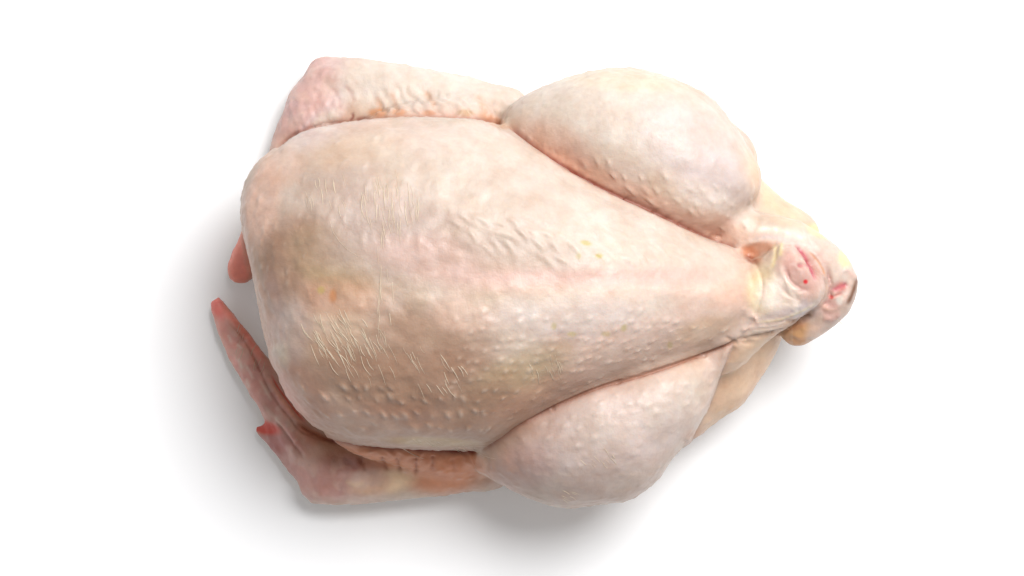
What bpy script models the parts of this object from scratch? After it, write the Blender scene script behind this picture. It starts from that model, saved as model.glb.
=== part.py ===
"""Whole raw chicken, dressed for the oven, lying on its back with crossed legs and folded wings.

Metres, +Z up. +X runs from the neck end to the hocks and +Y to the bird's side that is
up in the picture. The origin is on the ground, under the middle of the bird.
The sizes below are millimetres, which MM turns into metres.
"""

import math

import bmesh
import bpy
from mathutils import Vector

MM = 0.001
PARTS = "whole_raw_chicken"
CUTTERS = "cutters"

# The mesh: how finely the flesh is fused, softened and then thinned.
FUSE_CELL = 1.7
SOFTEN_STEPS = 4
SOFTEN_SHARE = 0.5
TRIANGLES = 9600

# The lofts: how their ends round off, their rings, and how far apart the two places on
# the middle line are that give a ring's direction, as shares of its length.
ROUNDING = 2.4
RINGS = 48
SEGMENTS = 36
AHEAD = 0.01
BALL_SEGMENTS = 24
BALL_RINGS = 16

# The bird rests on a flat patch of its back, cut this far above the lowest flesh by a
# slab this deep and this much wider than the bird.
BACK_FLAT = 1.6
SLAB_DEPTH = 60.0
SLAB_SPREAD = 1.5

SKIN_COLOUR = (0.86, 0.70, 0.60, 1.0)
SKIN_ROUGHNESS = 0.42

# Each body below is a loft of rounded rings. A station is
# (x, y, z, half width, half height), in millimetres.

# Breast and rib cage, from the neck end to the tip of the keel.
BREAST = [
    (-114.5, -2.5, 57, 62, 40),
    (-99, -1.5, 57, 64, 47),
    (-78, -0.5, 56, 67, 52),
    (-50, -0.5, 56, 69, 55),
    (-30, -1, 56, 69.5, 56),
    (-12, -1.5, 56, 65, 56),
    (6, -1.5, 56, 54, 54.5),
    (26, -2.5, 55, 44, 52),
    (48, -4, 54, 34.5, 46),
    (68, -5, 53, 26, 38),
    (86, -5, 51, 18, 30),
    (99, -5, 50, 12, 22),
]
# The ridge of the keel bone under the skin.
KEEL = [
    (-50, -3, 106.8, 4, 4.5),
    (-10, -3.5, 107.2, 4.5, 5),
    (25, -4, 101.9, 5, 6),
    (50, -4.3, 94.3, 5.5, 6.5),
    (72, -4.6, 84.6, 6, 6.5),
    (92, -5, 72.5, 6, 6),
]
# Back, hips and tail, low down behind the legs.
RUMP = [
    (10, 0, 28, 52, 26),
    (45, 0, 27, 64, 26),
    (70, 0, 27, 60, 25),
    (88, 2.5, 27, 49.5, 24),
    (102, 3.5, 27, 37.5, 21),
    (112, 3, 27, 27, 17),
    (121, 0, 27, 15, 13),
]
# Belly skin that closes the vent between the thighs.
VENT = [
    (56, 0, 40, 30, 18),
    (84, 3, 41, 29, 17),
    (99, 5, 39, 23, 14),
]
TAIL = [
    (104, 0, 28, 18, 14),
    (116, -1, 30, 15, 12),
    (127, -2, 32, 10, 9),
]

# Drumsticks, thighs and hocks of the upper (+Y) and the lower (-Y) leg.
UPPER_DRUMSTICK = [
    (-14, 62, 40, 13, 16),
    (8, 63, 43, 21, 25),
    (34, 59.5, 47, 31, 34),
    (57, 51, 50, 32, 35),
    (75, 39, 51, 24.5, 31),
    (87, 27, 52, 19, 24),
]
LOWER_DRUMSTICK = [
    (-28, -68, 38, 11, 14),
    (-10, -70, 41, 18, 23),
    (12, -67.5, 45, 28, 32),
    (33, -61.5, 48, 30.8, 34),
    (51, -50, 50, 22.3, 31),
    (74, -32, 51, 14, 24),
]
UPPER_THIGH = [
    (-8, 56, 28, 16, 20),
    (30, 55, 29, 31, 26),
    (72, 45, 26, 27, 22),
    (90, 34, 25, 18, 18),
]
LOWER_THIGH = [
    (-24, -58, 28, 16, 20),
    (12, -58, 29, 30, 26),
    (52, -46, 26, 28, 22),
    (84, -32, 25, 18, 18),
]
UPPER_SHANK = [
    (80, 23, 53, 13, 13),
    (93, 19.5, 55, 9.5, 11),
    (106, 17, 56, 9.5, 11),
    (117, 11, 56, 9.5, 11),
    (125.5, 2.5, 55, 9.5, 11),
    (125, -8, 53, 9.5, 11),
    (116, -16, 51, 9.5, 10),
    (110.5, -20.5, 50, 8.5, 9),
]
LOWER_SHANK = [
    (70, -33, 50, 15, 15),
    (82, -23, 57, 13.5, 13),
    (91, -13, 64, 14.5, 12),
    (101, -4, 69, 16, 12),
    (109, 2, 72, 15.5, 12),
    (114.5, 5.5, 73, 13, 11),
]
# The two knuckles of each hock: (x, y, z, radius across, radius up).
UPPER_KNUCKLES = [(111.5, -21, 49, 8.0, 8.5), (130, -3, 53, 6.0, 8)]
LOWER_KNUCKLES = [(116, -2.5, 72, 6.0, 8.5), (105.5, 10.5, 72, 6.0, 8.5)]

# Wings, folded in a Z: upper arm, forearm and hand, with the thumb at the wrist.
UPPER_ARM_HIGH = [
    (-84, 50, 44, 16, 18),
    (-50, 60, 34, 15, 18),
    (-14, 70, 25, 13, 15),
]
UPPER_ARM_LOW = [
    (-86, -52, 42, 16, 18),
    (-52, -64, 32, 15, 18),
    (-16, -75, 22, 13, 14),
]
FOREARM_HIGH = [
    (-2, 73, 22, 9, 13),
    (-26, 77, 20, 9.5, 13),
    (-52, 82, 18, 11, 13),
    (-78, 84.5, 17, 11.5, 12),
    (-89, 84.5, 16, 11, 11),
]
FOREARM_LOW = [
    (-8, -80, 19, 9, 13),
    (-30, -82, 17, 9.5, 13),
    (-56, -83, 16, 10, 13),
    (-80, -85, 16, 11.5, 12),
    (-93, -83, 15, 11, 11),
]
HAND_HIGH = [
    (-84, 87, 16, 10.5, 11),
    (-94, 75, 15, 10.5, 10),
    (-102, 58, 13, 9.8, 8.5),
    (-108, 39, 11, 8.5, 7),
    (-119, 18, 9, 7, 5.5),
    (-126.3, -1, 8, 5.2, 4.2),
]
HAND_LOW = [
    (-84, -85, 15, 12, 11),
    (-93, -74, 14, 11, 10),
    (-102.5, -60, 12.5, 9.5, 9),
    (-113.5, -45.5, 11, 8.6, 7.5),
    (-123, -31, 10, 7.2, 6.2),
    (-131, -17, 9, 5.4, 5),
    (-136.5, -7, 8.5, 3.4, 4),
]
THUMB_LOW = [
    (-95, -84, 11, 8, 8),
    (-105, -72.5, 9.5, 5.8, 6),
    (-113, -66, 8.5, 4.2, 4.4),
    (-121, -61.5, 8, 2.0, 2.2),
]
WRIST_KNOBS = [(-88, 88, 15, 8.4, 9), (-91, -88, 14, 9, 9)]

# Webs of skin and flesh that join the folded wings to the body.
WEB_HIGH = [
    (-102, 54, 16, 13, 10),
    (-88, 68, 20, 12, 10),
    (-62, 70, 21, 13, 12),
    (-20, 66, 24, 14, 13),
    (2, 64, 30, 13, 16),
]
WEB_LOW = [
    (-98, -52, 13, 13, 9),
    (-86, -66, 13, 12, 8),
    (-58, -70, 14, 12, 9),
    (-24, -68, 20, 13, 13),
]

# How far the neck end is askew: millimetres towards -X for each one towards +Y.
NECK_SKEW = 0.17
SKEW_FROM = -50.0
SKEW_POWER = 1.5
# Its +Y corner is rounder: the neck edge falls back by this share of y squared.
NECK_CORNER = 0.0046
CORNER_FROM = 20.0


def clear_scene():
    """Removes whatever the file held before, and makes the two collections."""
    for obj in list(bpy.data.objects):
        bpy.data.objects.remove(obj)
    for name in (PARTS, CUTTERS):
        bpy.context.scene.collection.children.link(bpy.data.collections.new(name))


def skin_material():
    """Pale, slightly moist raw skin."""
    material = bpy.data.materials.new("skin")
    material.use_nodes = True
    shader = material.node_tree.nodes["Principled BSDF"]
    shader.inputs["Base Color"].default_value = SKIN_COLOUR
    shader.inputs["Roughness"].default_value = SKIN_ROUGHNESS
    shader.inputs["Metallic"].default_value = 0.0
    return material


def spline_value(values, t):
    """A smooth curve through the values, at t from 0 to 1 (Catmull-Rom)."""
    last = len(values) - 1
    place = min(t * last, last - 1e-6)
    i = int(place)
    f = place - i
    before, here = values[max(i - 1, 0)], values[i]
    there, after = values[i + 1], values[min(i + 2, last)]
    rise_here = (there - before) * 0.5
    rise_there = (after - here) * 0.5
    return (
        here * (2 * f**3 - 3 * f**2 + 1)
        + rise_here * (f**3 - 2 * f**2 + f)
        + there * (3 * f**2 - 2 * f**3)
        + rise_there * (f**3 - f**2)
    )


def station_at(stations, t):
    """Centre, half width and half height of the ring at t."""
    x, y, z, wide, high = (spline_value(column, t) for column in zip(*stations))
    return Vector((x, y, z)), wide, high


def end_share(gap, reach, bluntness):
    """How much of its full size a ring keeps at a gap from a rounded end."""
    if gap >= reach:
        return 1.0
    return (1.0 - (1.0 - gap / reach) ** ROUNDING) ** (1.0 / bluntness)


def loft(name, stations, first=0.25, last=0.25, square=(2.0, 2.0), blunt=(2.0, 2.0)):
    """A closed body of rounded rings along the stations, with rounded ends.

    first and last are the shares of the length that round off at each end.
    square is the squareness of the rings at the two ends, and blunt how blunt the
    ends are: 2 is round, and more is fuller.
    """
    bm = bmesh.new()
    rows = []
    poles = []
    for i in range(RINGS + 1):
        # Rings lie closer together towards the two ends.
        t = 0.5 - 0.5 * math.cos(math.pi * i / RINGS)
        centre, wide, high = station_at(stations, t)
        if i in (0, RINGS):
            poles.append(bm.verts.new(centre * MM))
            continue
        ahead, _, _ = station_at(stations, min(t + AHEAD, 1.0))
        behind, _, _ = station_at(stations, max(t - AHEAD, 0.0))
        along = (ahead - behind).normalized()
        side = Vector((0, 0, 1)).cross(along).normalized()
        up = along.cross(side)
        share = end_share(t, first, blunt[0]) * end_share(1.0 - t, last, blunt[1])
        power = 2.0 / (square[0] + (square[1] - square[0]) * t)
        row = []
        for k in range(SEGMENTS):
            angle = 2 * math.pi * k / SEGMENTS
            c, s = math.cos(angle), math.sin(angle)
            across = math.copysign(abs(c) ** power, c) * wide * share
            upward = math.copysign(abs(s) ** power, s) * high * share
            row.append(bm.verts.new((centre + side * across + up * upward) * MM))
        rows.append(row)
    for k in range(SEGMENTS):
        n = (k + 1) % SEGMENTS
        bm.faces.new((poles[0], rows[0][n], rows[0][k]))
        bm.faces.new((poles[1], rows[-1][k], rows[-1][n]))
        for near, far in zip(rows, rows[1:]):
            bm.faces.new((near[k], near[n], far[n], far[k]))
    bmesh.ops.recalc_face_normals(bm, faces=bm.faces)
    return as_object(name, bm, PARTS)


def ball(name, place):
    """A knuckle: a squashed sphere at (x, y, z), as wide and high as given."""
    x, y, z, across, upward = place
    bm = bmesh.new()
    bmesh.ops.create_uvsphere(bm, u_segments=BALL_SEGMENTS, v_segments=BALL_RINGS, radius=1.0)
    bmesh.ops.scale(bm, verts=bm.verts, vec=Vector((across, across, upward)) * MM)
    bmesh.ops.translate(bm, verts=bm.verts, vec=Vector((x, y, z)) * MM)
    return as_object(name, bm, PARTS)


def as_object(name, bm, collection):
    mesh = bpy.data.meshes.new(name)
    bm.to_mesh(mesh)
    bm.free()
    obj = bpy.data.objects.new(name, mesh)
    bpy.data.collections[collection].objects.link(obj)
    return obj


def skew_neck(obj):
    """Moves the neck end of the breast askew, as it lies."""
    low, _ = corners(obj)
    for vert in obj.data.vertices:
        share = max((SKEW_FROM * MM - vert.co.x) / (SKEW_FROM * MM - low.x), 0.0) ** SKEW_POWER
        y = vert.co.y / MM
        back = NECK_CORNER * max(y - CORNER_FROM, 0.0) ** 2 - NECK_SKEW * y
        vert.co.x += back * share * MM


def trunk():
    breast = loft("breast", BREAST, 0.20, 0.12, square=(2.35, 1.85), blunt=(3.4, 2.2))
    skew_neck(breast)
    return [
        breast,
        loft("keel", KEEL),
        loft("rump", RUMP, 0.2, 0.15, square=(2.3, 2.3), blunt=(2.0, 2.6)),
        loft("vent", VENT, 0.3, 0.3),
        loft("tail", TAIL, 0.3, 0.4),
    ]


def legs():
    pieces = [
        loft("upper_drumstick", UPPER_DRUMSTICK, 0.3, 0.2, blunt=(2.0, 2.8)),
        loft("lower_drumstick", LOWER_DRUMSTICK, 0.3, 0.2, blunt=(2.0, 2.8)),
        loft("upper_thigh", UPPER_THIGH, 0.3, 0.3),
        loft("lower_thigh", LOWER_THIGH, 0.3, 0.3),
        loft("upper_shank", UPPER_SHANK, 0.2, 0.1, square=(2.2, 2.2), blunt=(2.0, 2.6)),
        loft("lower_shank", LOWER_SHANK, 0.2, 0.1, square=(2.2, 2.4), blunt=(2.0, 3.0)),
    ]
    for i, place in enumerate(UPPER_KNUCKLES + LOWER_KNUCKLES):
        pieces.append(ball(f"knuckle_{i}", place))
    return pieces


def wings():
    pieces = [
        loft("upper_arm_high", UPPER_ARM_HIGH, 0.3, 0.3),
        loft("upper_arm_low", UPPER_ARM_LOW, 0.3, 0.3),
        loft("forearm_high", FOREARM_HIGH, 0.15, 0.15),
        loft("forearm_low", FOREARM_LOW, 0.15, 0.15),
        loft("web_high", WEB_HIGH, 0.3, 0.3),
        loft("web_low", WEB_LOW, 0.3, 0.3),
        loft("hand_high", HAND_HIGH, 0.12, 0.06, square=(2.0, 2.4), blunt=(2.0, 3.0)),
        loft("hand_low", HAND_LOW, 0.12, 0.06),
        loft("thumb_low", THUMB_LOW, 0.2, 0.15),
    ]
    for i, place in enumerate(WRIST_KNOBS):
        pieces.append(ball(f"wrist_{i}", place))
    return pieces


def apply_modifiers(obj):
    """Replaces the object's mesh by what its modifiers make of it."""
    graph = bpy.context.evaluated_depsgraph_get()
    mesh = bpy.data.meshes.new_from_object(obj.evaluated_get(graph))
    obj.modifiers.clear()
    obj.data = mesh


def drop_inner_shells(obj):
    """Fills hollows that fusing sealed: only the largest shell stays."""
    bm = bmesh.new()
    bm.from_mesh(obj.data)
    left = set(bm.verts)
    shells = []
    while left:
        shell, edge = set(), [left.pop()]
        while edge:
            vert = edge.pop()
            shell.add(vert)
            for link in vert.link_edges:
                other = link.other_vert(vert)
                if other in left:
                    left.remove(other)
                    edge.append(other)
        shells.append(shell)
    shells.sort(key=len)
    scraps = [vert for shell in shells[:-1] for vert in shell]
    bmesh.ops.delete(bm, geom=scraps, context="VERTS")
    bm.to_mesh(obj.data)
    bm.free()


def fuse(pieces, name):
    """One soft closed body from the overlapping pieces."""
    bm = bmesh.new()
    for piece in pieces:
        bm.from_mesh(piece.data)
        bpy.data.objects.remove(piece)
    body = as_object(name, bm, PARTS)
    remesh = body.modifiers.new("fuse", "REMESH")
    remesh.mode = "VOXEL"
    remesh.voxel_size = FUSE_CELL * MM
    soften = body.modifiers.new("soften", "SMOOTH")
    soften.factor = SOFTEN_SHARE
    soften.iterations = SOFTEN_STEPS
    apply_modifiers(body)
    drop_inner_shells(body)
    return body


def thin_out(body):
    """Collapses the fine mesh to the wanted number of triangles."""
    body.data.calc_loop_triangles()
    decimate = body.modifiers.new("thin_out", "DECIMATE")
    decimate.ratio = TRIANGLES / len(body.data.loop_triangles)
    decimate.use_collapse_triangulate = True
    apply_modifiers(body)


def corners(obj):
    """Lowest and highest corner of the object's mesh."""
    points = [v.co for v in obj.data.vertices]
    low = Vector(min(p[i] for p in points) for i in range(3))
    high = Vector(max(p[i] for p in points) for i in range(3))
    return low, high


def ground_slab(low, high):
    """The cutter under the bird: a box whose top is the plane of the flat back."""
    size = (high - low) * SLAB_SPREAD
    middle = (low + high) / 2
    top = low.z + BACK_FLAT * MM
    bm = bmesh.new()
    bmesh.ops.create_cube(bm, size=1.0)
    bmesh.ops.scale(bm, verts=bm.verts, vec=Vector((size.x, size.y, SLAB_DEPTH * MM)))
    slab = as_object("ground_slab", bm, CUTTERS)
    slab.location = (middle.x, middle.y, top - SLAB_DEPTH * MM / 2)
    slab.hide_render = True
    slab.display_type = "WIRE"
    bpy.context.view_layer.update()
    return slab


def flatten_back(body):
    """Cuts the flat patch of the back, and sets the bird on the ground."""
    slab = ground_slab(*corners(body))
    cut = body.modifiers.new("flatten", "BOOLEAN")
    cut.operation = "DIFFERENCE"
    cut.object = slab
    apply_modifiers(body)
    bpy.data.objects.remove(slab)
    low, high = corners(body)
    shift = Vector((-(low.x + high.x) / 2, -(low.y + high.y) / 2, -low.z))
    for vert in body.data.vertices:
        vert.co += shift


def main():
    clear_scene()
    body = fuse(trunk() + legs() + wings(), "chicken")
    thin_out(body)
    flatten_back(body)
    body.data.materials.clear()
    body.data.materials.append(skin_material())
    body.data.shade_smooth()


main()
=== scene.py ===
"""Looks of a whole raw chicken, dressed for the oven, seen from straight above.

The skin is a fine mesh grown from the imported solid. Its creases, pimples, folds and
tints are laid on by place: a place seen in the picture is a pixel of its 1024x576
frame, sent along the camera's ray onto the skin. Lengths on the bird are millimetres.
"""

import math
import random

import bmesh
import bpy
import numpy as np
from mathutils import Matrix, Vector
from mathutils.bvhtree import BVHTree
from mathutils.kdtree import KDTree


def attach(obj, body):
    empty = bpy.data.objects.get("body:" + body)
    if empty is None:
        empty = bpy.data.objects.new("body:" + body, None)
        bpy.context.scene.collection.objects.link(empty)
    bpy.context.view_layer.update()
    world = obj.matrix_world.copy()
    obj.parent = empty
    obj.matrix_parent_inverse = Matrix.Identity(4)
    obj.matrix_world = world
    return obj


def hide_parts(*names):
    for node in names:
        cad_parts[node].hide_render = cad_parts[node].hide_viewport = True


MM = 0.001
SEED = 11

# The picture and its camera, which looks straight down.
PICTURE_WIDE = 1024
PICTURE_HIGH = 576
FOCAL_PIXELS = 3708.0
SENSOR_MM = 36.0
CAMERA = Vector((-0.0066, -0.0026, 1.6))
CLIP_START = 0.05

# The skin mesh: the size of its first cells, how often and how much it is smoothed, how
# near a sharp line its finest cells lie, and the height over the ground where they start.
SKIN_CELL = 1.7
FIRST_SMOOTHING = 8
NEXT_SMOOTHING = 4
SMOOTHING_SHARE = 0.5
FINEST_REACH = 3.2
FINEST_FROM = 6

# Soft noise: the cells along its repeating grid, and the shifts that keep seeds apart.
NOISE_CELLS = 24
NOISE_SHIFT = 100.5
NOISE_SEED_SHIFT = 1.37

# Light: a large soft key from the picture's upper right, a white room and a pale floor.
KEY_AZIMUTH = 54.0
KEY_HEIGHT = 58.0
KEY_DISTANCE = 1.5
KEY_SIZE = 1.0
KEY_WATTS = 31.0
ROOM_STRENGTH = 0.33
FLOOR_GLOW = 0.08
FLOOR_SIZE = 6.0
FLOOR_TINT = (0.93, 0.93, 0.94, 1.0)
FLOOR_ROUGHNESS = 0.9
WHITE = (1.0, 1.0, 1.0, 1.0)

# Lines of the picture, in pixels: where the breast lies over the legs, the ends of the
# legs, the breast's tip, the gaps beside the wings, the keel and the neck's edge.
UPPER_LEG_CREASE = [(505, 124), (530, 144), (560, 164), (600, 187), (640, 206), (700, 234), (740, 249)]
LOWER_LEG_CREASE = [(480, 451), (500, 439), (520, 424.5), (560, 403), (600, 386), (640, 374), (700, 354.5),
                    (738, 340)]
UPPER_LEG_END = [(762, 216), (757, 228), (748, 239), (738, 248)]
LOWER_LEG_END = [(733, 345), (722, 372), (712, 400), (701, 422), (690, 444)]
BREAST_TIP = [(744, 253), (755, 265), (761, 285), (757, 308), (748, 326), (737, 341)]
LOW_WING_GAP = [(296, 420), (331, 439), (365, 446), (400, 449), (440, 451), (478, 452)]
HIGH_WING_GAP = [(276, 150), (300, 133), (330, 125), (370, 119), (420, 117), (470, 119), (503, 125)]
KEEL_RIDGE = [(430, 287), (520, 288), (600, 289), (680, 290), (750, 291)]
KEEL_GROOVE = [(400, 277), (500, 278), (600, 277), (680, 277), (745, 274)]
NECK_EDGE = [(268, 160), (255, 184), (246, 210), (245, 234), (249, 261), (256, 281), (263, 306), (267, 338),
             (271, 358)]
HAND_FLAP = [(267, 374), (273, 386), (283, 401), (293, 414), (304, 426), (325, 438), (345, 444)]
FLAP_FOLD = [(222, 316), (232, 326), (241, 336), (252, 353), (260, 370), (267, 386), (278, 404), (289, 417),
             (300, 430), (315, 438), (332, 441)]
THUMB_LINE = [(277, 421), (284, 431), (292, 443), (305, 460)]

# How far from a path its points are looked for, in pixels, and the points on its curve.
PATH_REACH = 60
PATH_POINTS = 60

# The redder flesh at the neck's end, which lies under the breast's edge: its height over
# the ground and its half sizes in millimetres.
NECK_HEIGHT = 38
NECK_WIDE = 30
NECK_TALL = 22

# The wings' hands and red ends lie low: the heights over the ground under which they are
# looked for, in millimetres.
HANDS_TOP = 36
RED_ENDS_TOP = 32

# Where the finest cells lie: the crossed hocks, as a middle and half sizes in pixels.
HOCKS = (802, 285, 62, 66)


def linear(red, green, blue):
    """A screen colour, 0 to 255, as the light it stands for."""
    return np.array([(c / 255.0) ** 2.2 for c in (red, green, blue)])


CREAM = linear(196, 176, 162)
PALE = linear(211, 200, 190)
BLUSH = linear(222, 194, 180)
DUSK = linear(178, 158, 146)
PINK = linear(208, 176, 166)
ROSE = linear(218, 180, 162)
SAND = linear(210, 182, 156)
LAVENDER = linear(198, 185, 186)
OLIVE = linear(180, 156, 124)
BROWN = linear(160, 128, 108)
UMBER = linear(188, 143, 118)
TAN = linear(222, 190, 162)
FAT = linear(224, 208, 160)
# painted shade colours for the creases, folds and hollows: a dark red-brown and an orange-brown
CREASE_SHADE_RED = linear(120, 46, 30)
CREASE_SHADE_BROWN = linear(192, 126, 92)
MAUVE = linear(188, 142, 136)
HAND_PINK = linear(228, 164, 154)
RUDDY = linear(178, 130, 108)
ARM_TAN = linear(206, 136, 100)
SALMON = linear(254, 158, 142)
MAGENTA = linear(186, 92, 106)
BLOOD = linear(196, 36, 44)
GREY_SKIN = linear(206, 192, 176)
CRAB_RED = linear(206, 84, 70)
FLESH = linear(240, 128, 120)
WING_MAUVE = linear(204, 184, 184)
THUMB_RED = linear(160, 90, 88)
HONEY = linear(222, 172, 124)
CUT_PINK = linear(194, 142, 134)
BUTTER = linear(236, 208, 174)
WHITE_SKIN = linear(238, 224, 212)
DARK_HORN = linear(120, 84, 64)
SPECK = linear(176, 164, 70)
RUST = linear(196, 128, 74)

# Lines drawn on the skin: a path in pixels, its half width and its height in
# millimetres, and its colour with the share that it covers.
LINES = [
    (KEEL_RIDGE, 3.0, 0.18, BLUSH, 0.5),
    (KEEL_GROOVE, 4.0, -0.3, PINK, 0.9),
    # painted shade: the dark line where the breast lies on the upper leg
    ([(545, 153), (560, 164), (600, 187), (640, 206), (700, 234), (742, 250)], 0.6, -0.4, CREASE_SHADE_RED, 0.6),
    # the low wing's red ribbon, and the folds of its flap with painted shade along the fold line
    ([(219, 300), (228, 313), (238, 324), (248, 337), (257, 350), (264, 364)], 2.0, 0.5, SALMON, 0.85),
    ([(224, 300), (235, 313), (247, 325), (258, 341), (264, 354)], 0.6, 0.4, CRAB_RED, 0.6),
    (FLAP_FOLD, 0.55, -0.6, CREASE_SHADE_RED, 0.35),
    (HAND_FLAP, 1.1, 0.9, ARM_TAN, 0.5),
    # whitish marks on the low wing's hand
    ([(228, 334), (232, 344)], 0.5, 0.2, WHITE_SKIN, 0.5),
    ([(236, 344), (243, 349)], 0.6, 0.2, WHITE_SKIN, 0.5),
    ([(238, 358), (243, 369)], 0.6, 0.25, WHITE_SKIN, 0.65),
    ([(244, 362), (251, 374), (253, 380)], 0.5, 0.25, WHITE_SKIN, 0.5),
    ([(246, 378), (250, 388)], 0.6, 0.2, WHITE_SKIN, 0.5),
    ([(258, 378), (266, 390), (272, 402)], 0.6, 0.3, WHITE_SKIN, 0.4),
    ([(262, 404), (276, 418), (284, 430)], 0.8, 0.3, WHITE_SKIN, 0.35),
    # the flap's red edge and the line beside the thumb
    ([(270, 372), (277, 386), (287, 400), (297, 413), (307, 424)], 0.5, -0.3, CRAB_RED, 0.9),
    (THUMB_LINE, 0.6, -1.0, MAUVE, 0.5),
    ([(280, 419), (289, 431), (298, 443), (311, 459)], 1.0, 0.6, HAND_PINK, 0.4),
    # notches across the low forearm, with painted shade in them
    ([(359, 455), (362, 463), (366, 471)], 1.0, -1.2, CREASE_SHADE_RED, 0.3),
    ([(381, 456), (384, 464), (387, 472)], 0.9, -1.3, CREASE_SHADE_RED, 0.4),
    ([(396, 457), (398, 465), (401, 472)], 0.8, -1.1, CREASE_SHADE_RED, 0.35),
    ([(415, 457), (416, 466), (415, 476)], 0.8, -1.2, CREASE_SHADE_RED, 0.35),
    ([(433, 455), (433, 463), (431, 472)], 0.9, -1.2, CREASE_SHADE_RED, 0.25),
    ([(452, 458), (453, 466), (455, 474)], 1.0, -0.6, CREASE_SHADE_RED, 0.15),
    ([(342, 459), (352, 463), (358, 470)], 1.5, -0.8, MAUVE, 0.7),
    ([(338, 482), (341, 490), (337, 498)], 0.8, -0.7, MAUVE, 0.5),
    ([(345, 480), (355, 484), (366, 482)], 1.0, 0.7, BUTTER, 0.5),
    # folds at the high wing's wrist, and painted shade in the lines at its crease
    ([(311, 126), (322, 119), (334, 114), (342, 118)], 2.2, 0.5, PALE, 0.5),
    ([(300, 131), (308, 122), (318, 112)], 1.0, -0.6, WING_MAUVE, 0.5),
    ([(349, 121), (353, 117), (352, 112)], 0.7, -0.4, CREASE_SHADE_RED, 0.7),
    ([(356, 120), (362, 118), (372, 118)], 0.8, -0.4, CREASE_SHADE_RED, 0.6),
    ([(332, 88), (338, 98), (340, 110)], 0.9, -0.6, MAUVE, 0.3),
    ([(342, 84), (350, 92), (355, 104)], 0.9, -0.6, MAUVE, 0.3),
    ([(376, 96), (380, 104), (381, 114)], 1.0, -0.5, RUST, 0.4),
    ([(391, 92), (395, 102), (397, 112)], 1.0, -0.5, RUST, 0.3),
    ([(424, 90), (430, 98), (436, 107)], 1.2, -0.6, RUST, 0.35),
    ([(477, 93), (482, 104), (487, 114)], 1.3, -0.6, RUST, 0.3),
    # the near hock: its cut face, rims and folds
    ([(794, 243), (802, 252), (808, 262), (813, 272), (816, 281)], 0.8, -1.2, MAGENTA, 0.95),
    ([(797, 266), (803, 265), (809, 267)], 0.8, -0.8, MAGENTA, 0.7),
    ([(790, 249), (796, 257), (804, 263), (809, 275)], 1.0, 0.4, BLUSH, 0.5),
    ([(799, 240), (809, 249), (819, 262), (825, 278)], 1.2, 0.5, PALE, 0.5),
    ([(808, 251), (815, 258), (822, 268), (826, 278)], 0.5, -0.5, RUST, 0.6),
    ([(781, 262), (782, 273), (788, 284), (797, 292), (810, 295)], 1.3, 0.6, WHITE_SKIN, 0.5),
    ([(786, 268), (790, 280), (798, 287), (808, 290)], 0.7, -0.6, MAUVE, 0.6),
    ([(779, 284), (788, 295), (801, 301)], 0.8, -0.4, MAUVE, 0.3),
    ([(775, 243), (775, 256), (771, 270)], 0.9, -0.4, FAT, 0.7),
    ([(782, 242), (780, 257)], 0.9, 0.4, FAT, 0.7),
    ([(827, 266), (831, 284), (829, 299), (820, 309)], 0.9, -1.4, MAUVE, 0.6),
    ([(788, 290), (796, 302), (792, 311)], 2.0, 0.35, WHITE_SKIN, 0.7),
    ([(800, 299), (806, 304), (798, 309)], 1.4, 0.3, LAVENDER, 0.6),
    ([(732, 341), (755, 337), (778, 332), (800, 321), (824, 305)], 0.9, -1.4, BROWN, 0.6),
    ([(752, 322), (777, 320), (797, 313), (819, 302)], 0.6, 0.35, FAT, 0.4),
    ([(752, 327), (777, 325), (801, 316)], 0.5, 0.25, PALE, 0.4),
    ([(748, 332), (774, 329), (798, 320)], 0.5, 0.25, PALE, 0.4),
    ([(740, 309), (751, 314), (759, 321)], 1.2, 0.9, BLUSH, 0.8),
    ([(740, 330), (751, 327), (759, 321)], 1.2, 0.8, BLUSH, 0.7),
    ([(742, 233), (768, 229), (790, 233), (818, 242)], 1.3, 0.4, WHITE_SKIN, 0.5),
    ([(748, 240), (768, 237), (796, 241)], 1.0, -0.35, LAVENDER, 0.5),
    # the far hock: dark flesh, horn and lumps
    ([(832, 291), (840, 287), (848, 284)], 0.9, -0.7, MAGENTA, 0.7),
    ([(829, 299), (836, 296), (843, 293)], 0.7, -0.5, CRAB_RED, 0.35),
    ([(819, 303), (829, 310), (839, 311)], 1.2, 0.6, ROSE, 0.6),
    ([(822, 317), (832, 319), (841, 312)], 1.2, 0.5, MAUVE, 0.5),
    ([(857, 276), (853, 291), (846, 306)], 1.1, 0.4, DARK_HORN, 0.95),
    ([(852, 279), (848, 292), (842, 305)], 0.8, 0.4, PINK, 0.6),
    ([(844, 268), (851, 274), (857, 279)], 1.3, 0.7, PINK, 0.6),
    # painted shade in the groove under the lavender band
    ([(784, 321), (800, 322), (815, 312)], 1.2, -0.9, BROWN, 0.7),
    ([(787, 335), (800, 342), (815, 339)], 1.0, -0.5, BROWN, 0.4),
    ([(724, 336), (738, 343), (756, 341)], 0.9, -0.7, BROWN, 0.5),
]

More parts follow.
